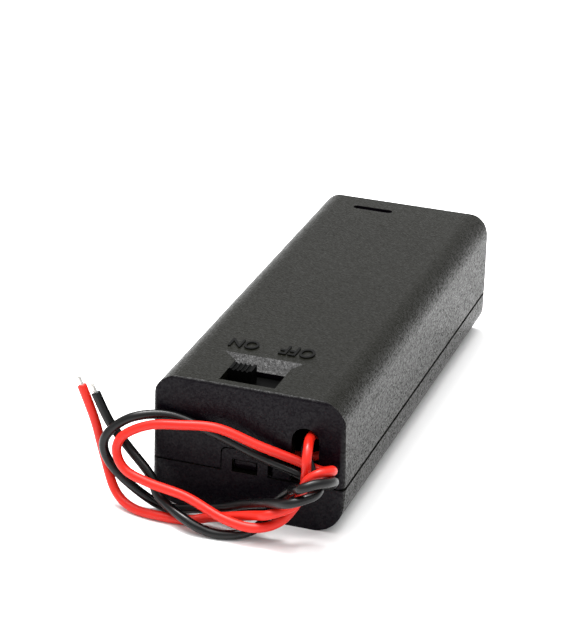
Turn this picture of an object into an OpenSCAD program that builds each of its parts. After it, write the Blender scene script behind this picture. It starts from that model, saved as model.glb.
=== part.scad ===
// Enclosed holder for two AAA cells side by side, with a slide switch and two flying leads.
// It lies on its snap cover. X is across, Y runs from the lead end (-Y) to the far end, Z is up.
// The origin is on the resting face, under the middle of the closed case.

/* [Case] */
// Length of the closed case
case_length = 72; // [71:0.5:80]
// Width of the closed case at the seam
case_width = 27; // [26.5:0.1:32]
// Height of the closed case
case_height = 19; // [18.5:0.1:22]
// Height of the seam between the cover and the housing
seam_height = 6.7; // [6.2:0.1:6.9]
// Thickness of the side and end walls
wall = 1.5; // [1.3:0.1:1.6]
// Thickness of the housing's deck, where the switch is
deck_wall = 1.8; // [1.6:0.1:2]
// Radius along the housing's upper long edges
deck_edge_radius = 3.4; // [2.4:0.1:4]
// Radius along the cover's lower long edges
floor_edge_radius = 4.2; // [2.4:0.1:4.8]
// Radius of the upright corners
corner_radius = 0.9; // [0.5:0.1:1.2]
// Radius across the deck's two short edges
end_edge_radius = 0.5; // [0.3:0.1:0.8]
// Mould draft of the side walls, in degrees
draft = 1; // [0.5:0.1:1.5]

/* [Cells] */
// Diameter of one cell
cell_diameter = 10.5; // [9.9:0.1:10.5]
// Length of one cell
cell_length = 44.5; // [43:0.1:44.7]
// Space left between the two cells
cell_spacing = 0.8; // [0.6:0.1:1]
// Space round a cell in its cradle
cell_clearance = 0.2; // [0.1:0.05:0.3]
// Length of a spring with a cell in place
spring_pressed = 5.4; // [5:0.1:6]
// Depth of the cradle ribs above the cells
cradle_floor = 0.8; // [0.6:0.1:1]
// Thickness of each cradle rib
cradle_rib = 1.2; // [0.8:0.1:1.6]
// Number of cradle ribs
cradle_count = 3; // [2:1:4]

/* [Switch] */
// Width of the window across the case
window_width = 7.8; // [7.4:0.1:8]
// Middle of the window, from the case's middle
window_x = -0.8; // [-1:0.1:-0.6]
// Wall left between the window and the end face
window_edge = 1.4; // [1.3:0.1:1.5]
// Length of the window along the case
window_length = 6.4; // [6.2:0.1:6.6]
// Depth of the finger ramp at the window
ramp_depth = 1.2; // [0.9:0.1:1.3]
// Length of the finger ramp
ramp_length = 2.2; // [1.8:0.1:2.6]
// Flare of the ramp on its ON side
flare_on = 2.3; // [1.6:0.1:2.6]
// Flare of the ramp on its OFF side
flare_off = 1.05; // [0.8:0.05:1.5]
// Width of the knob
knob_width = 3.2; // [3:0.1:3.4]
// Length of the knob along the case
knob_length = 2.2; // [2:0.1:2.4]
// Height of the knob above the deck
knob_proud = 0.4; // [0.2:0.1:0.8]
// Travel of the knob from ON to OFF
travel = 4; // [3.8:0.1:4]
// Number of grip ribs on the knob
knob_ribs = 5; // [4:1:6]
// Distance from the end face to the middle of the knob
knob_inset = 5.4; // [5.2:0.1:5.6]
// Thickness of the slider's dust skirt
skirt = 0.8; // [0.6:0.1:0.9]
// Thickness of the switch's steel frame
frame_sheet = 0.4; // [0.3:0.05:0.45]
// Width of the switch's steel frame along the case
frame_width = 5.2; // [5:0.1:5.4]
// Height of the switch's steel frame
frame_height = 4.5; // [4.3:0.1:4.8]
// Diameter of the staked posts that hold the switch
post_diameter = 1.5; // [1.3:0.1:1.6]

/* [Openings] */
// Width of the lead notch in the end wall
notch_width = 3.8; // [3.4:0.1:4]
// Middle of the lead notch, from the case's middle
notch_x = 8; // [7.9:0.1:8.2]
// Height of the top of the lead notch
notch_top = 14.7; // [14.6:0.1:14.9]
// Length of the moulding slot at the far end
slot_length = 6.2; // [5:0.1:7]
// Width of the moulding slot
slot_width = 1.2; // [0.8:0.1:1.4]
// Middle of the moulding slot, from the case's middle
slot_x = -4; // [-4.5:0.1:-3.5]
// Distance from the far end to the middle of the moulding slot
slot_inset = 4.4; // [4.1:0.1:4.6]

/* [Cover] */
// Width of the latch tongue
tongue_width = 6.5; // [6:0.1:6.7]
// Middle of the latch tongue, from the case's middle
tongue_x = -0.35; // [-0.4:0.05:0]
// Rise of the latch tongue above the seam
tongue_rise = 3.1; // [2.9:0.1:3.3]
// Thickness of the latch tongue
tongue_thickness = 1; // [0.9:0.05:1.1]
// Width of the catch window in the tongue
catch_width = 3.6; // [3.2:0.1:3.8]
// Height of the catch window
catch_height = 1.9; // [1.7:0.1:2]
// Height of the shadow groove that runs round the case under the seam
seam_groove = 0.25; // [0.15:0.05:0.35]
// Height of the locating lip inside the seam
lip_height = 1; // [0.8:0.1:1.1]
// Thickness of the locating lip
lip_thickness = 0.8; // [0.6:0.1:0.8]
// Rise of the far-end hook tabs above the seam
tab_rise = 1.9; // [1.7:0.1:2]
// Width of each far-end hook tab
tab_width = 4; // [3:0.1:4.5]

/* [Leads] */
// Outer diameter of a lead's insulation
lead_diameter = 1.3; // [1.2:0.05:1.3]
// Diameter of the tinned strands
strand_diameter = 0.6; // [0.5:0.05:0.7]
// Length of the stripped end
strip_length = 1.5; // [1:0.25:3]

/* [Fits] */
// Gap between the cover's inner parts and the housing
seat_gap = 0.15; // [0.1:0.01:0.18]
// Visible gap on the open side of the tongue
tongue_gap = 0.7; // [0.5:0.05:0.8]
// Running gap of the sliding parts
slide_gap = 0.15; // [0.1:0.01:0.2]
// Gap round a staked post and between stacked switch parts
part_gap = 0.05; // [0.03:0.01:0.08]

/* [Hidden] */

eps = 0.01;
// A cutting shape runs this far past the faces it opens
past = 1;
round_fn = 48;
cradle_fn = 64;
edge_steps = 12;
least_radius = 0.6;

// Faces of the case
front = -case_length / 2;
rear = case_length / 2;
front_inner = front + wall;
rear_inner = rear - wall;
side_inner = case_width / 2 - wall;
deck_under = case_height - deck_wall;
// Nothing of the housing hangs lower than this next to the walls, where the cover's lip passes
rib_foot = seam_height + lip_height + 0.3;

// Cell bays
bay_x = (cell_diameter + cell_spacing) / 2;
cell_axis = deck_under - cradle_floor - cell_clearance - cell_diameter / 2;
cradle_radius = cell_diameter / 2 + cell_clearance;
plate = 0.4;
plate_width = 9;
plate_top_gap = 1.3;
plate_foot = rib_foot + 0.3;
plate_height = deck_under - plate_top_gap - plate_foot;
inner_deck_radius = max(deck_edge_radius - wall, least_radius);
inner_floor_radius = max(floor_edge_radius - wall, least_radius);
between_rib = cell_spacing - 0.2;
// Pads stand between the far wall and the link plate
pad = 1.5;
pad_width = 3;
pad_foot = rib_foot + 1.2;
far_contact = rear_inner - pad - plate - part_gap;
near_contact = far_contact - cell_length - spring_pressed;
divider_face = near_contact - plate - part_gap;
divider_back = divider_face - wall;
grip_rib = 0.8;
grip_overlap = 0.6;
tab_strip = 2.4;
tab_room = 0.3;
tab_reach = 2.2;
tab_height = plate_foot + 0.3;
// Dimple that meets a cell's end
dimple_root = 4.4;
dimple_tip = 3.2;
dimple_height = 0.5;

// Springs
spring_free = 7.2;
spring_wire = 0.6;
spring_turns = 4;
spring_base_radius = 3.3;
spring_tip_radius = 2.2;
spring_steps = 14;
spring_sides = 6;

// Switch
window_near = front + window_edge;
window_far = window_near + window_length;
ramp_far = window_far + ramp_length;
knob_x = window_x - travel / 2;
knob_y = front + knob_inset;
skirt_reach = window_width / 2 + travel / 2 + 0.2;
skirt_near = front_inner + slide_gap;
skirt_far = window_far + 0.3;
skirt_top = deck_under - slide_gap;
skirt_foot = skirt_top - skirt;
frame_top = skirt_foot - slide_gap;
frame_foot = frame_top - frame_height;
stem_width = 2.4;
stem_length = 1.6;
stem_play = 0.2;
knob_groove = 0.24;
ear_pitch = 2 * (skirt_reach + travel / 2 + post_diameter / 2 + 0.25);
ear_length = ear_pitch + post_diameter + 1;
ear_width = 3.6;
stake_head = 0.5;
stake_width = post_diameter + 1;
base_thickness = 1;
base_top = frame_foot + base_thickness;
head_height = 0.25;
terminal_pitch = travel;
head_width = 1.2;
pin_width = 1.1;
pin_thickness = 0.5;
pin_length = 2.8;
pin_foot = frame_foot - frame_sheet - pin_length;
base_rim = 0.5;
frame_length = 2 * (terminal_pitch + pin_width / 2 + base_rim + frame_sheet + part_gap);
bridge_height = 0.3;
bridge_foot = base_top + head_height + part_gap;
bridge_reach = terminal_pitch / 2 + head_width / 2;
carrier_length = 3.4;
// Tabs folded in under the base at the frame's corners
fold_depth = 0.6;
fold_length = 2;

// Latch
tongue_left = tongue_x - tongue_width / 2;
tongue_right = tongue_x + tongue_width / 2;
tongue_top = seam_height + tongue_rise;
pocket_left = tongue_left - seat_gap;
pocket_right = tongue_right + tongue_gap;
pocket_top = tongue_top + seat_gap;
pocket_back = front + tongue_thickness + seat_gap;
boss_back = pocket_back + wall;
boss_right = pocket_right + 0.6;
catch_foot = seam_height - 0.2;
catch_rim = 0.35;
catch_proud = 0.7;
tongue_corner = 0.8;

// Hook tabs at the far end
tab_x = 6;
tab_face = rear_inner - seat_gap;
tab_thickness = 0.8;
tab_top = seam_height + tab_rise;
hook_reach = 0.4;
hook_height = 0.5;
hook_pocket = 0.45;
hook_pocket_foot = rib_foot - 0.3;
hook_side = 0.2;

// Cover
cover_floor = 1.5;
groove_depth = 0.3;
lip_root = seam_height - 1.5;
lip_shoulder = seam_height - 0.5;
lip_side = 0.5;
rest_rib = 1.2;
rest_clearance = 0.2;

// Solder joints
solder_bead = 1.5;
joint_rise = 0.5;
common_joint = [window_x, knob_y - 0.5, pin_foot + joint_rise];
on_joint = [window_x - terminal_pitch, knob_y + 0.5, pin_foot + joint_rise];
positive_joint = [-bay_x, divider_back - tab_reach - 0.2, tab_height + plate / 2];
negative_joint = [bay_x, divider_back - tab_reach - 0.2, tab_height + plate / 2];

// Leads
lead_sides = 8;
lead_rings = 40;
lead_radius = lead_diameter / 2;
tail_rings = 7;
strand_sides = 8;
link_slack = 0.8;

// Routes of the leads, with Y measured from the end face.
// The red lead: out of the notch, round the outer loop and back, then to its stripped end
red_route = [
    [8.5, 1.5, 13.25], [8.75, -0.75, 13.5], [9.25, -2.75, 13.25], [9.5, -4, 12], [9.5, -4, 10],
    [9, -3.25, 7.75], [8.25, -3.5, 5.5], [6.5, -5.25, 3.25], [3.5, -6.75, 2.5], [-0.75, -6.75, 3],
    [-6.5, -5.5, 4.5], [-12, -5, 5.25], [-15.5, -4.5, 6.25], [-17, -4, 8.5], [-16.25, -3.5, 10.75],
    [-13, -2.75, 12.5], [-8.75, -2.5, 13.25], [-3.5, -2, 13.5], [2.25, -1.5, 11.75], [7, -0.75, 10.25],
    [8.75, -0.75, 9.75], [10.75, -1, 9.5], [12.25, -1.75, 10.25], [12.75, -3.5, 11], [11.75, -5, 11.25],
    [10.5, -5.5, 10.5], [9.75, -5.25, 9.25], [9.25, -5, 7.75], [8.5, -5.25, 6.25], [7.5, -5.75, 5.5],
    [5.25, -6.75, 4.75], [2.5, -5.5, 3.5], [-3.5, -4.5, 1.5], [-6.5, -5, 0.75], [-10.5, -5.25, 0.75],
    [-14.5, -4.5, 0.75], [-17.5, -3.25, 2.25], [-19.75, -1.75, 6.5], [-21.25, -1.25, 11], [-23.25, -1, 15.75]];

// The black lead, which keeps inside the red loop on its way out and crosses it on the way back
black_route = [
    [8, 1.5, 12], [8.25, -0.5, 12], [9, -1.75, 11.25], [10, -2.5, 9.5], [11.25, -3.75, 8.75],
    [11.5, -5.5, 8.5], [10.5, -7, 8.25], [8.25, -7.75, 7.5], [4.5, -5.5, 5.75], [1, -3.75, 4],
    [-2.25, -3, 2.5], [-6, -2.75, 1.5], [-11, -2.5, 0.75], [-16.25, -3, 4], [-19, -3, 7.25],
    [-18.75, -3, 10.25], [-15.5, -2.25, 13], [-10.5, -0.75, 13.5], [-4.25, -0.75, 12], [1.5, -0.75, 10],
    [7, -0.75, 8.5], [9.5, -0.75, 7.5], [12, -1.75, 8], [13.25, -3.75, 9.75], [13, -5.75, 10.5],
    [11.75, -7.25, 10.75], [10, -7.75, 10], [8, -5.5, 8.25], [6, -4.75, 6], [5, -4.25, 4.25],
    [4.25, -4.75, 2.75], [2.75, -5.25, 1.25], [0.5, -6.5, 0.75], [-2.5, -7, 0.75], [-6, -6.75, 1.75],
    [-10.75, -4.25, 3], [-12.5, -3.25, 5.5], [-16, -2, 8.25], [-19, -1.25, 11], [-21.25, -1, 15]];

// Inner ends of the leads and the wire from the switch to the positive contact
red_tail_route = [
    red_route[0] + [0, front, 0], [9.4, front + 2.8, 12.9], [9.9, front + 3.5, 11.2],
    [9.2, front + 3.7, 9.4], [7.2, front + 3.7, pin_foot + 0.2], [3.6, front + 3.6, pin_foot + 0.3],
    common_joint - [0, 0.6, 0]];
black_tail_route = [
    black_route[0] + [0, front, 0], [7.9, front + 3.2, 11.6], [8.5, front + 6, 10.4],
    [7.6, (front + divider_back) / 2 + 2, tab_height + 0.8], negative_joint - [0, 0.4, 0]];
link_span = positive_joint - on_joint;
link_route = [
    on_joint + [0, 0.5, 0], on_joint + 0.35 * link_span + [0, 0, link_slack / 2],
    on_joint + 0.65 * link_span + [0, 0, link_slack], positive_joint - [0, 0.4, 0]];

// Points of a round corner, from angle a to angle b
function arc(centre, radius, a, b, steps) =
    [for (i = [0:steps]) let (t = a + (b - a) * i / steps) centre + radius * [cos(t), sin(t)]];

// Cross-section of the housing: flat foot, drafted sides and round upper edges
function upper_section(half, foot, top, radius) =
    let (cz = top - radius, cx = half - (cz - foot) * tan(draft) - radius / cos(draft))
    concat([[-half, foot], [half, foot]],
        arc([cx, cz], radius, draft, 90, edge_steps),
        arc([-cx, cz], radius, 90, 180 - draft, edge_steps));

// Cross-section of the cover: drafted sides and round lower edges
function lower_section(half, foot, top, radius) =
    let (cz = foot + radius, cx = half - (top - cz) * tan(draft) - radius / cos(draft))
    concat([[half, top], [-half, top]],
        arc([-cx, cz], radius, 180 + draft, 270, edge_steps),
        arc([cx, cz], radius, 270, 360 - draft, edge_steps));

// A cross-section drawn in X and Z, carried along Y
module along_y(y0, y1) {
    translate([0, y1, 0]) rotate([90, 0, 0]) linear_extrude(y1 - y0) children();
}

module round_plan(length, width, radius, z0, z1) {
    translate([0, 0, z0]) linear_extrude(z1 - z0) {
        square([width, length - 2 * radius], center = true);
        square([width - 2 * radius, length], center = true);
        for (x = [-1, 1], y = [-1, 1])
            translate([x * (width / 2 - radius), y * (length / 2 - radius)])
                circle(radius, $fn = round_fn);
    }
}

module box(x0, x1, y0, y1, z0, z1) {
    translate([x0, y0, z0]) cube([x1 - x0, y1 - y0, z1 - z0]);
}

// Catmull-Rom point between p1 and p2
function spline(p0, p1, p2, p3, t) =
    0.5 * (2 * p1 + (p2 - p0) * t + (2 * p0 - 5 * p1 + 4 * p2 - p3) * t * t
        + (3 * p1 - p0 - 3 * p2 + p3) * t * t * t);
function route_point(route, u) =
    let (n = len(route), i = min(floor(u), n - 2), t = u - i)
    spline(route[max(i - 1, 0)], route[i], route[i + 1], route[min(i + 2, n - 1)], t);
function route_line(route, rings) =
    [for (i = [0:rings - 1]) route_point(route, i * (len(route) - 1) / (rings - 1))];
function unit(v) = v / norm(v);
function tangents(p) =
    [for (i = [0:len(p) - 1]) unit(p[min(i + 1, len(p) - 1)] - p[max(i - 1, 0)])];
// A side direction for each ring, turned as little as possible from one to the next
function carried(t, first) =
    [for (i = 0, u = first; i < len(t);
        i = i + 1, u = i < len(t) ? unit(u - (u * t[i]) * t[i]) : u) u];

// A round wire along a line of points
module tube(line, radius, sides) {
    t = tangents(line);
    start = abs(t[0][2]) < 0.9 ? cross(t[0], [0, 0, 1]) : cross(t[0], [1, 0, 0]);
    side = carried(t, unit(start));
    n = len(line);
    polyhedron(
        points = [for (i = [0:n - 1]) for (k = [0:sides - 1])
            let (a = 360 * k / sides)
            line[i] + radius * (cos(a) * side[i] + sin(a) * cross(t[i], side[i]))],
        faces = concat(
            [[for (k = [0:sides - 1]) k]],
            [for (i = [0:n - 2]) for (k = [0:sides - 1]) let (m = (k + 1) % sides)
                [i * sides + m, i * sides + k, (i + 1) * sides + k, (i + 1) * sides + m]],
            [[for (k = [0:sides - 1]) (n - 1) * sides + sides - 1 - k]]),
        convexity = 10);
}

// Upper moulding: deck, walls, cell cradles and switch seat
module housing() {
    color("#484942") {
        difference() {
            housing_shell();
            deck_recess();
            moulding_slot();
            lead_notch();
            latch_pocket();
            hook_pockets();
        }
        catch_nub();
    }
}

module housing_shell() {
    difference() {
        intersection() {
            along_y(front, rear)
                polygon(upper_section(case_width / 2, seam_height, case_height, deck_edge_radius));
            round_plan(case_length, case_width, corner_radius, seam_height, case_height);
            deck_ends();
        }
        housing_room(front_inner, divider_back);
        housing_room(divider_face, rear_inner);
        box(-side_inner, side_inner, divider_back - eps, divider_face + eps, seam_height - past, rib_foot);
        contact_notches();
    }
    cradles();
    grip_ribs();
    far_pads();
    switch_posts();
    latch_boss();
}

// Side view of the case with round short edges on the deck
module deck_ends() {
    r = end_edge_radius;
    rotate([90, 0, 90]) translate([0, 0, -case_width / 2])
        linear_extrude(case_width)
            polygon(concat([[front, seam_height], [rear, seam_height]],
                arc([rear - r, case_height - r], r, 0, 90, edge_steps / 2),
                arc([front + r, case_height - r], r, 90, 180, edge_steps / 2)));
}

module housing_room(y0, y1) {
    along_y(y0, y1)
        polygon(upper_section(side_inner, seam_height - past, deck_under, inner_deck_radius));
}

// Ribs whose arcs the cells lie against
module cradles() {
    room = far_contact - near_contact - spring_free;
    first = near_contact + spring_free;
    for (i = [0:cradle_count - 1]) {
        y = first + room * (i + 0.5) / cradle_count;
        difference() {
            along_y(y - cradle_rib / 2, y + cradle_rib / 2)
                polygon(upper_section(side_inner + eps, cell_axis, deck_under + eps, inner_deck_radius));
            for (x = [-bay_x, bay_x])
                translate([x, y, cell_axis]) rotate([90, 0, 0])
                    cylinder(h = cradle_rib + past, r = cradle_radius, center = true, $fn = cradle_fn);
        }
    }
    // Low rib between the two cells
    box(-between_rib / 2, between_rib / 2, divider_face - eps, far_contact - part_gap,
        cell_axis + cell_diameter / 4, deck_under + eps);
}

// Ribs that hold the contact plates against the divider and the far pads
module grip_ribs() {
    side = plate_width / 2;
    for (x = [-bay_x, bay_x], s = [-1, 1])
        box(x + s * side - (s < 0 ? 0 : grip_overlap), x + s * side + (s < 0 ? grip_overlap : 0),
            near_contact + part_gap, near_contact + part_gap + grip_rib, plate_foot, deck_under + eps);
    for (s = [-1, 1])
        box(s * (bay_x + side) - (s < 0 ? 0 : grip_overlap),
            s * (bay_x + side) + (s < 0 ? grip_overlap : 0),
            far_contact - part_gap - grip_rib, far_contact - part_gap, plate_foot, deck_under + eps);
}

// Pads behind the link plate
module far_pads() {
    for (x = [-bay_x, bay_x])
        box(x - pad_width / 2, x + pad_width / 2, rear_inner - pad, rear_inner + eps,
            pad_foot, deck_under + eps);
}

// Notches under the divider for the contacts' solder tabs
module contact_notches() {
    for (x = [-bay_x, bay_x])
        box(x - tab_strip / 2 - tab_room, x + tab_strip / 2 + tab_room, divider_back - past,
            divider_face + eps, rib_foot - past, tab_height + plate + tab_room);
}

// Posts with staked heads that carry the switch frame by its ears
module switch_posts() {
    for (s = [-1, 1])
        translate([window_x + s * ear_pitch / 2, knob_y, 0]) {
            translate([0, 0, frame_top - frame_sheet - part_gap - stake_head / 2])
                cylinder(h = deck_under - frame_top + frame_sheet + part_gap + stake_head / 2 + eps,
                    d = post_diameter, $fn = round_fn);
            translate([0, 0, frame_top - frame_sheet - part_gap - stake_head])
                cylinder(h = stake_head, d1 = post_diameter, d2 = stake_width, $fn = round_fn);
        }
}

// Thicker wall behind the latch pocket
module latch_boss() {
    box(pocket_left - wall, boss_right, front_inner - eps, boss_back, rib_foot, pocket_top + wall);
}

// Window for the knob, with the flared finger ramp behind it
module deck_recess() {
    box(window_x - window_width / 2, window_x + window_width / 2, window_near, window_far,
        deck_under - past, case_height + past);
    intersection() {
        translate([0, 0, deck_under]) linear_extrude(deck_wall + past)
            polygon([[window_x - window_width / 2, window_far - eps],
                [window_x + window_width / 2, window_far - eps],
                [window_x + window_width / 2 + flare_off, ramp_far],
                [window_x - window_width / 2 - flare_on, ramp_far]]);
        rotate([90, 0, 90]) translate([0, 0, -case_width / 2])
            linear_extrude(case_width)
                polygon([[window_near, case_height - ramp_depth], [window_far, case_height - ramp_depth],
                    [ramp_far, case_height], [ramp_far, case_height + past],
                    [window_near, case_height + past]]);
    }
}

module moulding_slot() {
    y = rear - slot_inset;
    reach = (slot_length - slot_width) / 2;
    box(slot_x - reach, slot_x + reach, y - slot_width / 2, y + slot_width / 2,
        deck_under - past, case_height + past);
    for (s = [-1, 1])
        translate([slot_x + s * reach, y, deck_under - past])
            cylinder(h = deck_wall + 2 * past, d = slot_width, $fn = round_fn);
}

module lead_notch() {
    z = notch_top - notch_width / 2;
    box(notch_x - notch_width / 2, notch_x + notch_width / 2, front - past, front_inner + past,
        seam_height - past, z);
    translate([notch_x, front_inner + past, z]) rotate([90, 0, 0])
        cylinder(h = wall + 2 * past, d = notch_width, $fn = round_fn);
}

// Pockets in the far wall that the cover's hooks turn into
module hook_pockets() {
    for (x = [-tab_x, tab_x])
        box(x - tab_width / 2 - hook_side, x + tab_width / 2 + hook_side, rear_inner - eps,
            rear_inner + hook_pocket, hook_pocket_foot, tab_top + hook_side);
}

// Pocket in the end face for the cover's latch tongue
module latch_pocket() {
    r = tongue_corner;
    box(pocket_left, pocket_right, front - past, pocket_back, seam_height - past, pocket_top - r);
    box(pocket_left + r, pocket_right - r, front - past, pocket_back, seam_height - past, pocket_top);
    for (x = [pocket_left + r, pocket_right - r])
        translate([x, pocket_back, pocket_top - r]) rotate([90, 0, 0])
            cylinder(h = pocket_back - front + past, r = r, $fn = round_fn);
}

// Wedge that the tongue's window snaps over
module catch_nub() {
    x0 = tongue_x - catch_width / 2 + catch_rim;
    width = catch_width - 2 * catch_rim;
    foot = seam_height + catch_rim / 3;
    top = catch_foot + catch_height - catch_rim;
    translate([x0 + width, 0, 0]) rotate([90, 0, -90]) linear_extrude(width)
        polygon([[-pocket_back - eps, foot], [-pocket_back + catch_proud / 2, foot],
            [-pocket_back + catch_proud, foot + catch_proud], [-pocket_back + catch_proud, top],
            [-pocket_back - eps, top]]);
}

// Snap cover with its lip, latch tongue, hook tabs and cell rests
module cover() {
    color("#3d3e3c") {
        difference() {
            union() {
                cover_shell();
                cover_lip();
                latch_tongue();
            }
            catch_window();
        }
        cell_rests();
        for (x = [-tab_x, tab_x]) hook_tab(x);
    }
}

module cover_shell() {
    difference() {
        intersection() {
            along_y(front, rear)
                polygon(lower_section(case_width / 2, 0, seam_height, floor_edge_radius));
            round_plan(case_length, case_width, corner_radius, 0, seam_height);
        }
        along_y(front_inner, rear_inner)
            polygon(lower_section(side_inner, cover_floor, seam_height + past, inner_floor_radius));
        difference() {
            box(-case_width, case_width, front - past, rear + past, seam_height - seam_groove,
                seam_height + past);
            round_plan(case_length - 2 * groove_depth, case_width - 2 * groove_depth,
                corner_radius - groove_depth, seam_height - seam_groove - past, seam_height + 2 * past);
        }
    }
}

// Lip that stands inside the housing's walls, open where the latch boss and the notch are
module cover_lip() {
    outer = side_inner - seat_gap;
    y0 = front_inner + seat_gap;
    y1 = rear_inner - seat_gap;
    top = seam_height + lip_height;
    difference() {
        union() {
            box(-outer, outer, y0, y1, lip_root, top);
            box(-side_inner - eps, side_inner + eps, front_inner - eps, rear_inner + eps,
                lip_root, lip_shoulder);
        }
        box(-outer + lip_thickness, outer - lip_thickness, y0 + lip_thickness, y1 - lip_thickness,
            lip_root - past, top + past);
        box(pocket_left - wall - lip_side, notch_x + notch_width / 2 + lip_side, front_inner,
            y0 + lip_thickness + past, lip_shoulder, top + past);
    }
}

// Tongue up the end face, with square feet and round upper corners
module latch_tongue() {
    r = tongue_corner;
    foot = seam_height / 2;
    box(tongue_left, tongue_right, front, front + tongue_thickness, foot, tongue_top - r);
    box(tongue_left + r, tongue_right - r, front, front + tongue_thickness, foot, tongue_top);
    for (x = [tongue_left + r, tongue_right - r])
        translate([x, front + tongue_thickness, tongue_top - r]) rotate([90, 0, 0])
            cylinder(h = tongue_thickness, r = r, $fn = round_fn);
}

module catch_window() {
    box(tongue_x - catch_width / 2, tongue_x + catch_width / 2, front - past, front + wall + eps,
        catch_foot, catch_foot + catch_height);
}

// Tab with a wedge that turns into a pocket in the far wall
module hook_tab(x) {
    translate([x + tab_width / 2, 0, 0]) rotate([90, 0, -90]) linear_extrude(tab_width)
        polygon([[-tab_face, lip_root], [tab_thickness - tab_face, lip_root],
            [tab_thickness - tab_face, tab_top], [-tab_face, tab_top],
            [-tab_face - hook_reach, tab_top - hook_height / 3],
            [-tab_face - hook_reach, tab_top - hook_height],
            [-tab_face, tab_top - hook_height - hook_reach]]);
}

// Cross ribs in the cover that the cells rest on
module cell_rests() {
    for (f = [-0.25, 0.25]) {
        y = (near_contact + far_contact) / 2 + f * cell_length;
        difference() {
            union() {
                box(-side_inner - eps, side_inner + eps, y - rest_rib / 2, y + rest_rib / 2,
                    cover_floor - eps, lip_shoulder);
                box(seat_gap - side_inner, side_inner - seat_gap, y - rest_rib / 2, y + rest_rib / 2,
                    lip_shoulder - eps, cell_axis - cell_diameter / 4);
            }
            for (x = [-bay_x, bay_x])
                translate([x, y, cell_axis]) rotate([90, 0, 0])
                    cylinder(h = rest_rib + past, r = cell_diameter / 2 + rest_clearance, center = true,
                        $fn = cradle_fn);
        }
    }
}

// Steel frame of the slide switch
module switch_frame() {
    x0 = window_x - frame_length / 2;
    x1 = window_x + frame_length / 2;
    y0 = knob_y - frame_width / 2;
    y1 = knob_y + frame_width / 2;
    sheet = frame_sheet;
    stem_room = stem_width / 2 + travel / 2 + stem_play;
    color("silver") difference() {
        union() {
            box(x0, x1, y0, y1, frame_foot - sheet, frame_top);
            box(window_x - ear_length / 2, window_x + ear_length / 2, knob_y - ear_width / 2,
                knob_y + ear_width / 2, frame_top - sheet, frame_top);
        }
        // Room for the insulating base and the sliding carrier
        box(x0 + sheet, x1 - sheet, y0 + sheet, y1 - sheet, frame_foot, frame_top - sheet);
        // Open foot, with four folded tabs left at the corners
        box(x0 + sheet, x1 - sheet, y0 + sheet + fold_depth, y1 - sheet - fold_depth,
            frame_foot - past, frame_foot + eps);
        box(x0 + fold_length, x1 - fold_length, y0 + sheet, y1 - sheet, frame_foot - past, frame_foot + eps);
        // Slot for the stem
        box(window_x - stem_room, window_x + stem_room, knob_y - stem_length / 2 - stem_play,
            knob_y + stem_length / 2 + stem_play, frame_top - past, frame_top + past);
        for (s = [-1, 1])
            translate([window_x + s * ear_pitch / 2, knob_y, frame_top - past])
                cylinder(h = 2 * past, d = post_diameter + 2 * part_gap, $fn = round_fn);
    }
}

// Insulating base that carries the terminals
module switch_base() {
    inset = frame_sheet + part_gap;
    color("#8a5a35") difference() {
        box(window_x - frame_length / 2 + inset, window_x + frame_length / 2 - inset,
            knob_y - frame_width / 2 + inset, knob_y + frame_width / 2 - inset, frame_foot, base_top);
        for (i = [-1:1])
            box(window_x + i * terminal_pitch - (pin_width + part_gap) / 2,
                window_x + i * terminal_pitch + (pin_width + part_gap) / 2,
                knob_y - (pin_thickness + part_gap) / 2, knob_y + (pin_thickness + part_gap) / 2,
                frame_foot - past, base_top + past);
    }
}

// Black slider: ribbed knob, dust skirt, stem and contact carrier
module switch_slider() {
    pitch = knob_width / knob_ribs;
    color("#161616") {
        difference() {
            box(knob_x - knob_width / 2, knob_x + knob_width / 2, knob_y - knob_length / 2,
                knob_y + knob_length / 2, skirt_foot, case_height + knob_proud);
            for (i = [1:knob_ribs - 1])
                translate([knob_x - knob_width / 2 + i * pitch, knob_y, case_height + knob_proud])
                    rotate([90, 0, 0])
                        cylinder(h = knob_length + past, r = knob_groove, center = true, $fn = round_fn / 2);
        }
        box(knob_x - skirt_reach, knob_x + skirt_reach, skirt_near, skirt_far, skirt_foot, skirt_top);
        box(knob_x - stem_width / 2, knob_x + stem_width / 2, knob_y - stem_length / 2,
            knob_y + stem_length / 2, bridge_foot + bridge_height, skirt_foot + eps);
        box(knob_x - bridge_reach, knob_x + bridge_reach, knob_y - carrier_length / 2,
            knob_y + carrier_length / 2, bridge_foot + bridge_height, frame_top - frame_sheet - slide_gap);
    }
}

// Spring contact that rides under the carrier and joins two terminals
module switch_bridge() {
    color("#b08d57") difference() {
        box(knob_x - bridge_reach, knob_x + bridge_reach, knob_y - head_width / 2, knob_y + head_width / 2,
            bridge_foot, bridge_foot + bridge_height);
        box(knob_x - bridge_reach / 2, knob_x + bridge_reach / 2, knob_y - past, knob_y + past,
            bridge_foot - past, bridge_foot + bridge_height / 2);
    }
}

module terminal(x) {
    color("silver") {
        box(x - head_width / 2, x + head_width / 2, knob_y - head_width / 2, knob_y + head_width / 2,
            base_top, base_top + head_height);
        box(x - pin_width / 2, x + pin_width / 2, knob_y - pin_thickness / 2, knob_y + pin_thickness / 2,
            pin_foot, base_top + eps);
    }
}
module terminal_on() { terminal(window_x - terminal_pitch); }
module terminal_common() { terminal(window_x); }
module terminal_off() { terminal(window_x + terminal_pitch); }

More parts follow.
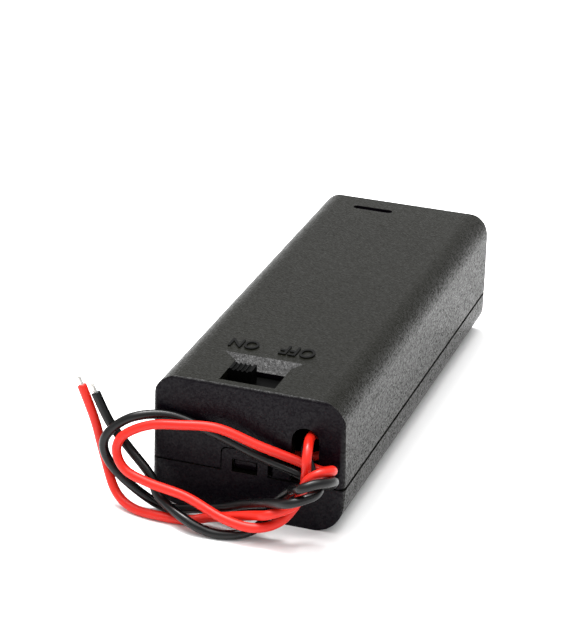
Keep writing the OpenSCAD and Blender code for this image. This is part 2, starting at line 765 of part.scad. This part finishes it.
// Plate at the lead end of a bay, with its solder tab through the divider
module near_plate(x) {
    box(x - plate_width / 2, x + plate_width / 2, near_contact - plate, near_contact,
        plate_foot, plate_foot + plate_height);
    box(x - tab_strip / 2, x + tab_strip / 2, divider_back - tab_reach, near_contact,
        tab_height, tab_height + plate);
}
module dimple() { cylinder(h = dimple_height, d1 = dimple_root, d2 = dimple_tip, $fn = round_fn); }
module contact_positive() {
    color("silver") {
        near_plate(-bay_x);
        translate([-bay_x, near_contact - eps, cell_axis]) rotate([-90, 0, 0]) dimple();
    }
}
module contact_negative() { color("silver") near_plate(bay_x); }

// Conical spring: from the plate at y = 0, towards +Y
module cone_spring() {
    steps = spring_steps * spring_turns;
    r = spring_wire / 2;
    tube([for (i = [0:steps]) let (f = i / steps, a = 360 * spring_turns * f,
            q = spring_base_radius + (spring_tip_radius - spring_base_radius) * f)
            [q * cos(a), r + (spring_free - spring_wire) * f, q * sin(a)]], r, spring_sides);
}
module spring_negative() {
    color("silver") translate([bay_x, near_contact, cell_axis]) cone_spring();
}

// Plate that joins the two cells at the far end
module link_plate() {
    reach = bay_x + plate_width / 2;
    color("silver") {
        box(-reach, reach, far_contact, far_contact + plate, plate_foot, plate_foot + plate_height);
        translate([bay_x, far_contact + eps, cell_axis]) rotate([90, 0, 0]) dimple();
    }
}
module link_spring() {
    color("silver") translate([-bay_x, far_contact, cell_axis]) mirror([0, 1, 0]) cone_spring();
}

module tail(route) { tube(route_line(route, tail_rings), lead_radius, lead_sides); }
module red_tail() { color("#d8342c") tail(red_tail_route); }
module black_tail() { color("#1b1b1d") tail(black_tail_route); }
module link_wire() { color("#d8342c") tail(link_route); }

module solder(p) { color("#c9c9c9") translate(p) sphere(d = solder_bead, $fn = round_fn / 2); }
module solder_common() { solder(common_joint); }
module solder_on() { solder(on_joint); }
module solder_positive() { solder(positive_joint); }
module solder_negative() { solder(negative_joint); }

module lead(route) { translate([0, front, 0]) tube(route_line(route, lead_rings), lead_radius, lead_sides); }
module red_lead() { color("#d8342c") lead(red_route); }
module black_lead() { color("#1b1b1d") lead(black_route); }

// Tinned strands that stand out of a lead's end
module strands(route) {
    n = len(route);
    tip = route[n - 1];
    way = unit(route_point(route, n - 1) - route_point(route, n - 1.1));
    color("#d9d9d6") translate([0, front, 0])
        tube([tip, tip + way * strip_length / 2, tip + way * strip_length],
            strand_diameter / 2, strand_sides);
}
module red_strands() { strands(red_route); }
module black_strands() { strands(black_route); }

housing();
cover();
switch_frame();
switch_base();
switch_slider();
switch_bridge();
terminal_on();
terminal_common();
terminal_off();
contact_positive();
contact_negative();
spring_negative();
link_plate();
link_spring();
red_tail();
black_tail();
link_wire();
solder_common();
solder_on();
solder_positive();
solder_negative();
red_lead();
black_lead();
red_strands();
black_strands();
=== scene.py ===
"""Looks of the enclosed two-cell holder: slide switch, snap cover and two flying leads.

Metres, in the part's own frame: X across, Y from the lead end to the far end, Z up.
"""

import bmesh
import bpy
import numpy as np
from mathutils import Matrix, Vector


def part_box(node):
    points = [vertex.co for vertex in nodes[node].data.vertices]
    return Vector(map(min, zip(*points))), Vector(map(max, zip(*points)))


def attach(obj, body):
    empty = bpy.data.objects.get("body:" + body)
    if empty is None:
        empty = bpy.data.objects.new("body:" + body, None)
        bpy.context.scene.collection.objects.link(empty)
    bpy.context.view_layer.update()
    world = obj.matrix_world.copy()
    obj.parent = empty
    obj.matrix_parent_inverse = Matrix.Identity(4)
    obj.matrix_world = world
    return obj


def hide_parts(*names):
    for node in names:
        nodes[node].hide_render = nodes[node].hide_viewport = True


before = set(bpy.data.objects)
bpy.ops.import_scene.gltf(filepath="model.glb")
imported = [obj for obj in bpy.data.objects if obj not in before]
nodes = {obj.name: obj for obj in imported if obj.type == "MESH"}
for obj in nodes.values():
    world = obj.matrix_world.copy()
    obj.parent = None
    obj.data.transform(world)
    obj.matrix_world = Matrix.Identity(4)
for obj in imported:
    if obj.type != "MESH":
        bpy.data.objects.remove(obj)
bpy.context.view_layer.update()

# ---------------------------------------------------------------------------
# Camera: stands to the right of the lead end, a little above, with a long lens.
# ---------------------------------------------------------------------------
camera_data = bpy.data.cameras.new("camera")
# Millimetres, as on a camera's label
camera_data.lens = 146.0
camera_data.sensor_width = 36.0
camera = bpy.data.objects.new("camera", camera_data)
bpy.context.collection.objects.link(camera)
# Where it stands, and which way its right and its top point
camera_place = (0.0988, -0.3211, 0.1634)
camera_right = (0.94547, 0.32439, 0.02929)
camera_up = (-0.15689, 0.37478, 0.91374)
camera_back = np.cross(camera_right, camera_up)
turn = np.eye(4)
turn[:3, 0], turn[:3, 1], turn[:3, 2], turn[:3, 3] = camera_right, camera_up, camera_back, camera_place
camera.matrix_world = Matrix(turn.tolist())
camera_data.clip_start, camera_data.clip_end = 0.01, 10.0
bpy.context.scene.camera = camera

# ---------------------------------------------------------------------------
# Leads: two hook-up wires, each a bundle of tinned copper strands in a skin of soft PVC.
# They leave the notch, lie in loops against the end face, and their cut ends are stripped.
# ---------------------------------------------------------------------------
MM = 0.001
lead_radius = 0.65 * MM
lead_steps = 900
lead_sides = 28
# Routes in millimetres, with Y measured from the end face
red_route = np.array([
    [8.5, 1.5, 13.25], [8.75, -0.75, 13.5], [9.25, -2.75, 13.25], [9.5, -4, 12], [9.5, -4, 10],
    [9, -3.25, 7.75], [8.25, -3.5, 5.5], [6.5, -5.25, 3.25], [3.5, -6.75, 2.5], [-0.75, -6.75, 3],
    [-6.5, -5.5, 4.5], [-12, -5, 5.25], [-15.5, -4.5, 6.25], [-17, -4, 8.5], [-16.25, -3.5, 10.75],
    [-13, -2.75, 12.5], [-8.75, -2.5, 13.25], [-3.5, -2, 13.5], [2.25, -1.5, 11.75], [7, -0.75, 10.25],
    [8.75, -0.75, 9.75], [10.75, -1, 9.5], [12.25, -1.75, 10.25], [12.75, -3.5, 11], [11.75, -5, 11.25],
    [10.5, -5.5, 10.5], [9.75, -5.25, 9.25], [9.25, -5, 7.75], [8.5, -5.25, 6.25], [7.5, -5.75, 5.5],
    [5.25, -6.75, 4.75], [2.5, -5.5, 3.5], [-3.5, -4.5, 1.5], [-6.5, -5, 0.75], [-10.5, -5.25, 0.75],
    [-14.5, -4.5, 0.75], [-17.5, -3.25, 2.25], [-19.75, -1.75, 6.5], [-21.25, -1.25, 11],
    [-23.25, -1, 15.75]])
black_route = np.array([
    [8, 1.5, 12], [8.25, -0.5, 12], [9, -1.75, 11.25], [10, -2.5, 9.5], [11.25, -3.75, 8.75],
    [11.5, -5.5, 8.5], [10.5, -7, 8.25], [8.25, -7.75, 7.5], [4.5, -5.5, 5.75], [1, -3.75, 4],
    [-2.25, -3, 2.5], [-6, -2.75, 1.5], [-11, -2.5, 0.75], [-16.25, -3, 4], [-19, -3, 7.25],
    [-18.75, -3, 10.25], [-15.5, -2.25, 13], [-10.5, -0.75, 13.5], [-4.25, -0.75, 12], [1.5, -0.75, 10],
    [7, -0.75, 8.5], [9.5, -0.75, 7.5], [12, -1.75, 8], [13.25, -3.75, 9.75], [13, -5.75, 10.5],
    [11.75, -7.25, 10.75], [10, -7.75, 10], [8, -5.5, 8.25], [6, -4.75, 6], [5, -4.25, 4.25],
    [4.25, -4.75, 2.75], [2.75, -5.25, 1.25], [0.5, -6.5, 0.75], [-2.5, -7, 0.75], [-6, -6.75, 1.75],
    [-10.75, -4.25, 3], [-12.5, -3.25, 5.5], [-16, -2, 8.25], [-19, -1.25, 11], [-21.25, -1, 15]])


def smooth_line(points, steps):
    """Catmull-Rom curve through the points: between each two, a cubic whose ends have the slope
    of the line from the point before to the point after."""
    padded = np.vstack([points[:1], points, points[-1:]])
    u = np.linspace(0, len(points) - 1, steps)
    i = np.minimum(u.astype(int), len(points) - 2)
    t = (u - i)[:, None]
    p0, p1, p2, p3 = padded[i], padded[i + 1], padded[i + 2], padded[i + 3]
    return 0.5 * (2 * p1 + (p2 - p0) * t + (2 * p0 - 5 * p1 + 4 * p2 - p3) * t ** 2
                  + (3 * p1 - p0 - 3 * p2 + p3) * t ** 3)


def carried_frames(line):
    """A tangent and two side vectors for each point of a line: the first side vector is carried
    from point to point by taking away its part along the new tangent."""
    tangent = np.gradient(line, axis=0)
    tangent /= np.linalg.norm(tangent, axis=1)[:, None]
    side = np.zeros_like(line)
    now = np.cross(tangent[0], [0.3, 0.2, 1.0])
    for k, t in enumerate(tangent):
        now = now - np.dot(now, t) * t
        now /= np.linalg.norm(now)
        side[k] = now
    return tangent, side, np.cross(tangent, side)


def grid_mesh(name, points):
    """Closed mesh of a grid of points: each row is a ring closed on itself, and the first and the
    last ring are a single point repeated, whose doubles are merged."""
    rows, cols = points.shape[:2]
    index = np.arange(rows * cols).reshape(rows, cols)
    after = np.roll(index, -1, axis=1)
    quads = np.stack([index[:-1].ravel(), after[:-1].ravel(), after[1:].ravel(), index[1:].ravel()], axis=1)
    mesh = bpy.data.meshes.new(name)
    mesh.from_pydata(points.reshape(-1, 3).tolist(), [], quads.tolist())
    work = bmesh.new()
    work.from_mesh(mesh)
    bmesh.ops.remove_doubles(work, verts=work.verts, dist=1e-7)
    bmesh.ops.recalc_face_normals(work, faces=work.faces)
    work.to_mesh(mesh)
    work.free()
    mesh.polygons.foreach_set("use_smooth", [True] * len(mesh.polygons))
    piece = bpy.data.objects.new(name, mesh)
    bpy.context.collection.objects.link(piece)
    return piece


# A cut end of a wire: how far its flat stands out and how wide it is, as shares of the radius
cut_depth = 0.12
cut_flat = 0.85


def wire_mesh(name, line, radius, sides):
    """Tube round a line: point(u, v) = line(u) + radius * (cos v * side + sin v * other). Each end is
    a flat cut with a bevelled rim: past the last ring stand a smaller ring and the middle point."""
    tangent, side, other = carried_frames(line)
    angle = np.linspace(0, 2 * np.pi, sides, endpoint=False)
    around = (np.cos(angle)[None, :, None] * side[:, None] + np.sin(angle)[None, :, None] * other[:, None])
    rings = line[:, None] + radius * around
    depth = cut_depth * radius
    first = [line[0] + share * radius * around[0] - depth * tangent[0] for share in (0, cut_flat)]
    last = [line[-1] + share * radius * around[-1] + depth * tangent[-1] for share in (cut_flat, 0)]
    return grid_mesh(name, np.array([*first, *rings, *last]))


def linear(hex_colour):
    """sRGB hex to linear RGBA: c/12.92 below 0.04045, else ((c + 0.055) / 1.055) to the power 2.4."""
    c = np.array([int(hex_colour[k:k + 2], 16) for k in (1, 3, 5)]) / 255
    c = np.where(c <= 0.04045, c / 12.92, ((c + 0.055) / 1.055) ** 2.4)
    return (*c.tolist(), 1.0)


def add_node(material, kind, inputs=None, **settings):
    """Adds one node to a material, sets its properties, and sets or links its inputs, which are
    given by name or by number. A Mix has its factor at 0, its values at 2 and 3 and its colours
    at 6 and 7; a Map Range goes from the range at 1 and 2 to the range at 3 and 4, or 0 to 1."""
    tree = material.node_tree
    node = tree.nodes.new(kind)
    for key, value in settings.items():
        setattr(node, key, value)
    for key, value in (inputs or {}).items():
        if isinstance(value, bpy.types.NodeSocket):
            tree.links.new(value, node.inputs[key])
        else:
            node.inputs[key].default_value = value
    return node


def new_material(name):
    """An empty node material with its output, and the Object coordinates that its patterns read."""
    material = bpy.data.materials.new(name)
    material.use_nodes = True
    material.node_tree.nodes.clear()
    output = add_node(material, "ShaderNodeOutputMaterial")
    place = add_node(material, "ShaderNodeTexCoord").outputs["Object"]
    return material, output, place


def finish_material(material, output, shader):
    """Joins the shader to the material's output."""
    material.node_tree.links.new(shader.outputs[0], output.inputs["Surface"])
    return material


def pvc_insulation(name, colour, pale, roughness, specular):
    """Extruded soft PVC: a smooth satin skin, its tone in clouds of 4 mm, with dents of 2 mm where
    the wire has been handled and a fine unevenness of 0.4 mm that softens the highlights."""
    material, output, place = new_material(name)
    cloud = add_node(material, "ShaderNodeTexNoise", {"Vector": place, "Scale": 0.26 / MM, "Detail": 3.0})
    mix = add_node(material, "ShaderNodeMix", {0: cloud.outputs["Fac"], 6: linear(colour), 7: linear(pale)},
                   data_type="RGBA")
    fine = add_node(material, "ShaderNodeTexNoise", {"Vector": place, "Scale": 2.6 / MM, "Detail": 2.0})
    dents = add_node(material, "ShaderNodeTexNoise", {"Vector": place, "Scale": 0.52 / MM, "Detail": 1.0})
    height = add_node(material, "ShaderNodeMath", {0: fine.outputs["Fac"], 1: 0.25, 2: dents.outputs["Fac"]},
                      operation="MULTIPLY_ADD")
    bump = add_node(material, "ShaderNodeBump",
                    {"Height": height.outputs[0], "Strength": 0.12, "Distance": 0.1 * MM})
    rough = add_node(material, "ShaderNodeMapRange", {"Value": cloud.outputs["Fac"], 1: 0.3, 2: 0.7,
                                                      3: roughness - 0.06, 4: roughness + 0.08})
    shader = add_node(material, "ShaderNodeBsdfPrincipled",
                      {"Base Color": mix.outputs[2], "Roughness": rough.outputs[0],
                       "Normal": bump.outputs[0], "IOR": 1.53, "Specular IOR Level": specular})
    return finish_material(material, output, shader)


red_pvc = pvc_insulation("red_soft_pvc", "#B2150A", "#C41E0F", 0.38, 0.25)
black_pvc = pvc_insulation("black_soft_pvc", "#040405", "#080808", 0.28, 0.22)


def tinned_copper():
    """Tin over copper strands: bright grey metal, uneven over half a millimetre where it was dipped."""
    material, output, place = new_material("tinned_copper")
    cloud = add_node(material, "ShaderNodeTexNoise", {"Vector": place, "Scale": 1.8 / MM, "Detail": 3.0})
    mix = add_node(material, "ShaderNodeMix",
                   {0: cloud.outputs["Fac"], 6: linear("#BDBBB6"), 7: linear("#E6E5E2")}, data_type="RGBA")
    bump = add_node(material, "ShaderNodeBump",
                    {"Height": cloud.outputs["Fac"], "Strength": 0.2, "Distance": 0.05 * MM})
    shader = add_node(material, "ShaderNodeBsdfPrincipled",
                      {"Base Color": mix.outputs[2], "Metallic": 1.0, "Roughness": 0.32,
                       "Normal": bump.outputs[0]})
    return finish_material(material, output, shader)


tin = tinned_copper()

strip_length = 1.5 * MM
strip_root = 0.2 * MM
strand_radius = 0.1 * MM
strand_count = 7
strand_steps = 26
strand_sides = 10
strand_turn = 2.2


def strand_bundle(name, line_end, direction):
    """Strands laid in a slow twist: one in the middle and six round it, each point at
    end + s * direction + r(s) * (cos a(s) * side + sin a(s) * other), where r narrows a little and
    a turns by strand_turn over the strip. The strands' lengths differ by up to a fifth."""
    side = np.cross(direction, [0.2, 1.0, 0.1])
    side /= np.linalg.norm(side)
    other = np.cross(direction, side)
    made = []
    for k in range(strand_count):
        reach = strip_length * (1 - 0.05 * ((k * 3) % 5))
        s = np.linspace(0, reach, strand_steps)
        r = 0 * s if k == 0 else 2.0 * strand_radius * (1 - 0.1 * s / strip_length)
        a = 2 * np.pi * k / (strand_count - 1) + strand_turn * s / strip_length
        off_axis = (r * np.cos(a))[:, None] * side + (r * np.sin(a))[:, None] * other
        line = line_end + s[:, None] * direction + off_axis
        made.append(wire_mesh(f"{name}_{k}", line, strand_radius, strand_sides))
    return made


def join(pieces, name):
    """Puts several meshes into the first one's object."""
    bm = bmesh.new()
    for piece in pieces:
        bm.from_mesh(piece.data)
    mesh = pieces[0].data
    bm.to_mesh(mesh)
    bm.free()
    mesh.polygons.foreach_set("use_smooth", [True] * len(mesh.polygons))
    for piece in pieces[1:]:
        bpy.data.objects.remove(piece)
    pieces[0].name = name
    return pieces[0]


end_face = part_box("housing")[0][1]


def lead(colour, route, material):
    """One lead: insulation from inside the notch to the strip, and the strands beyond it."""
    line = smooth_line(route, lead_steps) * MM + [0, end_face, 0]
    piece = wire_mesh(f"{colour}_lead_insulation", line, lead_radius, lead_sides)
    piece.data.materials.append(material)
    # The way the wire points at its end, over its last few rings
    direction = line[-1] - line[-8]
    direction /= np.linalg.norm(direction)
    strands = join(strand_bundle(f"{colour}_lead_strands", line[-1] - strip_root * direction, direction),
                   f"{colour}_lead_strands")
    strands.data.materials.append(tin)
    for made, node, slot in ((piece, f"{colour}_lead", f"{colour}_insulation"),
                             (strands, f"{colour}_strands", "tinned_copper")):
        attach(made, "case")
        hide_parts(node)


lead("red", red_route, red_pvc)
lead("black", black_route, black_pvc)

# ---------------------------------------------------------------------------
# Housing and cover: two mouldings in black ABS from spark-eroded tools.
# The cover snaps in from below, and the seam between them shows as a dark line on the long sides.
# ---------------------------------------------------------------------------


def spark_eroded_abs(name, seed, shade_foot, shade_top):
    """ABS moulded against spark-eroded steel: a low sheen broken up by grains of 0.23 mm, each
    catching the light a little more or less than the next, with painted sheen that spreads this
    most on the long sides. The black is in slow clouds, with a few pale specks of dust, and the
    ends are in painted shade: a darker, more violet black. Between the two heights it sinks
    into the shade of the seam. The grain is drawn about three times as coarse as the real one,
    so that it shows."""
    material, output, place = new_material(name)
    # Each half has its own stretch of the patterns
    at = add_node(material, "ShaderNodeMapping",
                  {"Vector": place, "Location": (seed, -seed, seed / 2)}).outputs[0]
    grains = add_node(material, "ShaderNodeTexVoronoi", {"Vector": at, "Scale": 4.3 / MM})
    fine = add_node(material, "ShaderNodeTexNoise", {"Vector": at, "Scale": 4.6 / MM, "Detail": 2.0})
    cloud = add_node(material, "ShaderNodeTexNoise", {"Vector": at, "Scale": 0.055 / MM, "Detail": 3.0})
    tone = add_node(material, "ShaderNodeMix",
                    {0: cloud.outputs["Fac"], 6: linear("#090905"), 7: linear("#0E0E09")}, data_type="RGBA")
    # Dust: the middles of 1.1 mm cells, kept only where a 2 mm noise is high
    dust = add_node(material, "ShaderNodeTexVoronoi", {"Vector": at, "Scale": 0.9 / MM})
    speck = add_node(material, "ShaderNodeMapRange", {"Value": dust.outputs["Distance"], 1: 0.09, 2: 0.05})
    pick = add_node(material, "ShaderNodeTexNoise", {"Vector": at, "Scale": 0.5 / MM, "Detail": 0.0})
    few = add_node(material, "ShaderNodeMapRange", {"Value": pick.outputs["Fac"], 1: 0.58, 2: 0.66, 4: 0.12})
    dusty = add_node(material, "ShaderNodeMath", {0: speck.outputs[0], 1: few.outputs[0]},
                     operation="MULTIPLY")
    dusted = add_node(material, "ShaderNodeMix",
                      {0: dusty.outputs[0], 6: tone.outputs[2], 7: linear("#A9A8A2")}, data_type="RGBA")
    # How squarely the surface faces along each axis: X on the long sides, Y on the ends
    normal = add_node(material, "ShaderNodeTexCoord").outputs["Normal"]
    square = add_node(material, "ShaderNodeVectorMath", {0: normal}, operation="ABSOLUTE")
    facing = add_node(material, "ShaderNodeSeparateXYZ", {0: square.outputs[0]})
    # Painted shade on the ends: faces along Y are mixed towards a darker, more violet black
    painted_end_shade = add_node(material, "ShaderNodeMix",
                      {0: facing.outputs["Y"], 6: dusted.outputs[2], 7: linear("#060308")}, data_type="RGBA")
    # Shade of the seam, on the long sides
    height = add_node(material, "ShaderNodeSeparateXYZ", {0: place}).outputs["Z"]
    above = add_node(material, "ShaderNodeMath", {0: height, 1: shade_foot}, operation="GREATER_THAN")
    below = add_node(material, "ShaderNodeMath", {0: height, 1: shade_top}, operation="LESS_THAN")
    band = add_node(material, "ShaderNodeMath", {0: above.outputs[0], 1: below.outputs[0]},
                    operation="MULTIPLY")
    shade = add_node(material, "ShaderNodeMath", {0: band.outputs[0], 1: facing.outputs["X"]},
                     operation="MULTIPLY")
    shaded = add_node(material, "ShaderNodeMix",
                      {0: shade.outputs[0], 6: painted_end_shade.outputs[2], 7: linear("#000000")}, data_type="RGBA")
    # Sheen: each grain draws a lot from -1 to 1, and the spread says how far that moves its shine; it is
    # widened on the long sides as painted sheen for the glancing light there
    draw = add_node(material, "ShaderNodeSeparateColor", {0: grains.outputs["Color"]})
    lot = add_node(material, "ShaderNodeMapRange", {"Value": draw.outputs[0], 3: -1.0, 4: 1.0})
    painted_sheen_spread = add_node(material, "ShaderNodeMapRange",
                      {"Value": facing.outputs["X"], 1: 0.3, 2: 1.0, 3: 0.035, 4: 0.085})
    gloss = add_node(material, "ShaderNodeMath", {0: lot.outputs[0], 1: painted_sheen_spread.outputs[0], 2: 0.088},
                     operation="MULTIPLY_ADD")
    shine = add_node(material, "ShaderNodeMix", {0: shade.outputs[0], 2: gloss.outputs[0], 3: 0.0})
    rough = add_node(material, "ShaderNodeMapRange", {"Value": draw.outputs[1], 3: 0.28, 4: 0.44})
    pebbles = add_node(material, "ShaderNodeMath",
                       {0: grains.outputs["Distance"], 1: 0.4, 2: fine.outputs["Fac"]},
                       operation="MULTIPLY_ADD")
    bump = add_node(material, "ShaderNodeBump",
                    {"Height": pebbles.outputs[0], "Strength": 1.0, "Distance": 0.04 * MM})
    shader = add_node(material, "ShaderNodeBsdfPrincipled",
                      {"Base Color": shaded.outputs[2], "Roughness": rough.outputs[0],
                       "Normal": bump.outputs[0], "IOR": 1.53, "Specular IOR Level": shine.outputs[0]})
    return finish_material(material, output, shader)


def dress(node, material):
    """Gives a node its material in place of the plain one it came with."""
    mesh = nodes[node].data
    mesh.materials.clear()
    mesh.materials.append(material)


# Height of the seam, and how far its shade reaches up the housing and down the cover
seam = 6.7 * MM
housing_shade = 0.06 * MM
cover_shade = 0.42 * MM
housing_abs = spark_eroded_abs("spark_eroded_black_abs", 0.011, seam - housing_shade, seam + housing_shade)
cover_abs = spark_eroded_abs("spark_eroded_black_abs_cover", 0.037, seam - cover_shade, seam)
dress("housing", housing_abs)
dress("cover", cover_abs)

# ---------------------------------------------------------------------------
# Lettering: ON and OFF, moulded with the deck beyond the switch, in the deck's own plastic.
# They stand 0.2 mm proud and read from the far end.
# ---------------------------------------------------------------------------
deck_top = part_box("housing")[1][2]
letter_rise = 0.2 * MM
letter_root = 0.05 * MM
# Share of the type's size by which each stroke is thickened on either side
letter_weight = 0.012


def polished_letter_abs():
    """Letters cut smooth in the tool: darker than the grain round them, with a faint cloud of 1 mm."""
    material, output, place = new_material("polished_black_abs")
    cloud = add_node(material, "ShaderNodeTexNoise", {"Vector": place, "Scale": 0.9 / MM, "Detail": 2.0})
    tone = add_node(material, "ShaderNodeMix",
                    {0: cloud.outputs["Fac"], 6: linear("#050505"), 7: linear("#0D0D0C")}, data_type="RGBA")
    shader = add_node(material, "ShaderNodeBsdfPrincipled",
                      {"Base Color": tone.outputs[2], "Roughness": 0.5, "Specular IOR Level": 0.05})
    return finish_material(material, output, shader)


def lettering(name, words, x_low, x_high, y_low, y_high):
    """Raised letters: the words' outline is thickened, stretched to fill the rectangle, turned
    half round, and set from letter_root under the deck to letter_rise above it."""
    curve = bpy.data.curves.new(name, "FONT")
    curve.body = words
    curve.size = 1.0
    curve.extrude = 0.5
    curve.offset = letter_weight
    drawn = bpy.data.objects.new(name, curve)
    bpy.context.collection.objects.link(drawn)
    bpy.context.view_layer.update()
    mesh = bpy.data.meshes.new_from_object(drawn)
    bpy.data.objects.remove(drawn)
    count = len(mesh.vertices)
    at = np.empty(count * 3)
    mesh.vertices.foreach_get("co", at)
    at = at.reshape(-1, 3)
    low, high = at.min(axis=0), at.max(axis=0)
    share = (at - low) / (high - low)
    at[:, 0] = x_high - share[:, 0] * (x_high - x_low)
    at[:, 1] = y_high - share[:, 1] * (y_high - y_low)
    at[:, 2] = deck_top - letter_root + share[:, 2] * (letter_rise + letter_root)
    mesh.vertices.foreach_set("co", at.ravel())
    solid = bmesh.new()
    solid.from_mesh(mesh)
    bmesh.ops.remove_doubles(solid, verts=solid.verts, dist=1e-6)
    bmesh.ops.recalc_face_normals(solid, faces=solid.faces)
    solid.to_mesh(mesh)
    solid.free()
    piece = bpy.data.objects.new(name, mesh)
    bpy.context.collection.objects.link(piece)
    mesh.materials.append(letter_abs)
    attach(piece, "case")
    return piece


letter_abs = polished_letter_abs()
lettering("letters_on", "ON", -7.25 * MM, -3.2 * MM, -24.4 * MM, -21.9 * MM)
lettering("letters_off", "OFF", -0.1 * MM, 4.7 * MM, -24.3 * MM, -21.5 * MM)

# ---------------------------------------------------------------------------
# Switch: a bought slide switch staked under the deck.
# Black acetal slider, tinned steel frame, punched phenolic board and tinned brass terminals.
# ---------------------------------------------------------------------------


def plain_finish(name, dark, pale, roughness, grain_mm, bump_strength, metallic=0.0, specular=0.5):
    """A finish with clouds of 4 mm between two tones, and a fine bump of the given grain."""
    material, output, place = new_material(name)
    cloud = add_node(material, "ShaderNodeTexNoise", {"Vector": place, "Scale": 0.24 / MM, "Detail": 4.0})
    grain = add_node(material, "ShaderNodeTexNoise",
                     {"Vector": place, "Scale": 1 / (grain_mm * MM), "Detail": 3.0})
    tone = add_node(material, "ShaderNodeMix", {0: cloud.outputs["Fac"], 6: linear(dark), 7: linear(pale)},
                    data_type="RGBA")
    bump = add_node(material, "ShaderNodeBump", {"Height": grain.outputs["Fac"], "Strength": bump_strength,
                                                 "Distance": 0.05 * MM})
    rough = add_node(material, "ShaderNodeMapRange", {"Value": cloud.outputs["Fac"], 1: 0.3, 2: 0.7,
                                                      3: roughness - 0.05, 4: roughness + 0.07})
    shader = add_node(material, "ShaderNodeBsdfPrincipled",
                      {"Base Color": tone.outputs[2], "Roughness": rough.outputs[0], "Metallic": metallic,
                       "Specular IOR Level": specular, "Normal": bump.outputs[0]})
    return finish_material(material, output, shader)


# Acetal swallows the light: the knob is a black shape whose ribs show only by their edges
dress("switch_slider", plain_finish("black_acetal", "#020202", "#040404", 0.45, 0.4, 0.15, specular=0.03))
# Rolled steel under hot tin: grey, soft reflections
dress("switch_frame", plain_finish("tinned_steel", "#B4B3AE", "#D2D1CC", 0.3, 0.5, 0.15, 1.0))
# Paper and phenolic resin: brown, dull, with a visible tooth
dress("switch_base", plain_finish("phenolic_board", "#6E4427", "#8A5A35", 0.55, 0.3, 0.4))
# Bare bronze spring strip: warm and fairly bright
dress("switch_bridge", plain_finish("phosphor_bronze", "#A9814C", "#C39A62", 0.3, 0.4, 0.1, 1.0))
# Punched brass under tin: a warmer grey than the frame
tinned_brass = plain_finish("tinned_brass", "#C4C0B4", "#DAD6CC", 0.3, 0.4, 0.15, 1.0)
for terminal in ("terminal_on", "terminal_common", "terminal_off"):
    dress(terminal, tinned_brass)

# ---------------------------------------------------------------------------
# Contacts: nickel-plated strip and springs, and the wires soldered to them.
# ---------------------------------------------------------------------------
# Bright nickel on stamped strip: a warm grey mirror, a little clouded
nickel = plain_finish("nickel_plate", "#BEBBB2", "#D9D6CE", 0.26, 0.6, 0.12, 1.0)
# Coiled wire under the same nickel, with fine drawing marks
spring_wire = plain_finish("nickelled_spring_wire", "#B9B6AE", "#D5D2CA", 0.24, 0.3, 0.1, 1.0)
for contact in ("contact_positive", "contact_negative", "link_plate"):
    dress(contact, nickel)
for spring in ("spring_negative", "link_spring"):
    dress(spring, spring_wire)
# Frozen solder: a grey metal with a wrinkled skin
solder = plain_finish("solder", "#A9A9A6", "#D0D0CD", 0.28, 0.3, 0.25, 1.0)
for joint in ("solder_common", "solder_on", "solder_positive", "solder_negative"):
    dress(joint, solder)
for tail, material in (("red_tail", red_pvc), ("link_wire", red_pvc), ("black_tail", black_pvc)):
    dress(tail, material)

# ---------------------------------------------------------------------------
# Studio: a plain pale floor, a pale surround, a large soft light overhead, a small strong one that
# brings out the grain, and a faint one from behind.
# ---------------------------------------------------------------------------
floor_mesh = bpy.data.meshes.new("floor")
floor_half = 3.0
floor_corners = [(x * floor_half, y * floor_half, 0) for x, y in ((-1, -1), (1, -1), (1, 1), (-1, 1))]
floor_mesh.from_pydata(floor_corners, [], [(0, 1, 2, 3)])
floor = bpy.data.objects.new("floor", floor_mesh)
bpy.context.collection.objects.link(floor)
# Matt white card: pale, with no reflection of the case in it
white_card, card_output, _ = new_material("white_card")
card_shader = add_node(white_card, "ShaderNodeBsdfPrincipled",
                       {"Base Color": (0.85, 0.85, 0.85, 1.0), "Roughness": 0.7, "Specular IOR Level": 0.2})
floor_mesh.materials.append(finish_material(white_card, card_output, card_shader))

world = bpy.data.worlds.new("surround")
bpy.context.scene.world = world
world.use_nodes = True
surround = world.node_tree.nodes["Background"]
surround.inputs["Color"].default_value = (1, 1, 1, 1)
surround.inputs["Strength"].default_value = 1.05


def softbox(name, place, target, size, power):
    """A square area light of the given side, turned to face its target."""
    data = bpy.data.lights.new(name, "AREA")
    data.shape = "SQUARE"
    data.size = size
    data.energy = power
    box = bpy.data.objects.new(name, data)
    bpy.context.collection.objects.link(box)
    away = np.array(place, float) - np.array(target, float)
    away /= np.linalg.norm(away)
    right = np.cross([0, 0, 1.0], away)
    right /= np.linalg.norm(right)
    up = np.cross(away, right)
    m = np.eye(4)
    m[:3, 0], m[:3, 1], m[:3, 2], m[:3, 3] = right, up, away, place
    box.matrix_world = Matrix(m.tolist())
    return box


softbox("overhead_softbox", place=(-0.05, -0.05, 0.9), target=(0, 0, 0), size=0.9, power=11.0)
softbox("key_softbox", place=(-0.21, 0.08, 0.72), target=(0, 0, 0), size=0.25, power=7.0)
softbox("back_softbox", place=(0.45, 0.9, 0.06), target=(0, 0, 0.01), size=0.3, power=0.15)
bpy.context.scene.view_settings.view_transform = "Standard"
